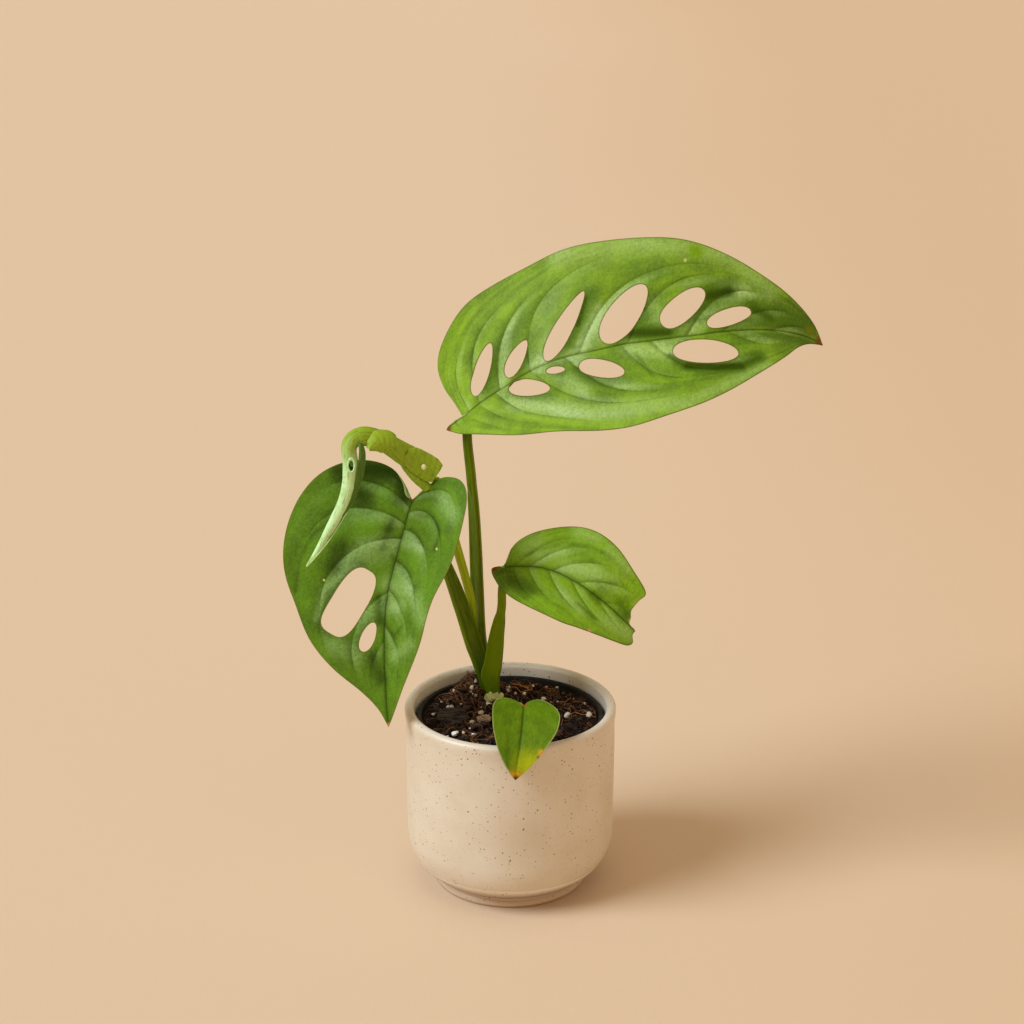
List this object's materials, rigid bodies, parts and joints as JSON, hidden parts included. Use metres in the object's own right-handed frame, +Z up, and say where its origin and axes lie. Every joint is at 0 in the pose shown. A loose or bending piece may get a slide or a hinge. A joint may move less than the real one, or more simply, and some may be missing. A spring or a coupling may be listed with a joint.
{
  "type": "potted house plant",
  "caption": "Young climbing aroid with holed, heart-shaped leaves on sheathed stalks, rooted in a plastic grower's pot that stands inside a round stoneware pot.",
  "frame": {"origin": "centre of the stoneware pot's flat base, on the surface that it stands on", "axes": "+Z up along the pot's axis; the front, which the picture shows, faces -Y; the large leaf points to +X"},
  "size_m": [0.2346, 0.1018, 0.2932],
  "materials": {
    "stoneware": "satin glaze, cream with fine brown speckles",
    "liner_plastic": "satin, very dark green",
    "potting_mix": "matte, crumbly, with fibres and white grains",
    "stem": "matte, knobbed",
    "petiole": "satin, smooth, finely lined along its length",
    "mature_leaf": "satin, quilted between the side veins",
    "new_leaf": "satin, waxy, pale",
    "dry_scale": "matte, papery",
    "bark_chip": "matte, rough",
    "wood_chip": "matte, fibrous"
  },
  "bodies": {
    "root": {"pot": "stoneware", "grower_pot": "liner_plastic", "potting_mix": "potting_mix", "stem_and_roots": "stem", "dark_chip": "bark_chip", "pale_chip": "wood_chip", "large_leaf_petiole": "petiole", "left_leaf_petiole": "petiole", "new_leaf_petiole": "petiole", "right_leaf_petiole": "petiole", "small_leaf_petiole": "petiole", "large_leaf_blade": "mature_leaf", "left_leaf_blade": "mature_leaf", "right_leaf_blade": "mature_leaf", "small_leaf_blade": "mature_leaf", "new_leaf_blade": "new_leaf", "dry_sheath": "dry_scale"}
  },
  "joints": []
}
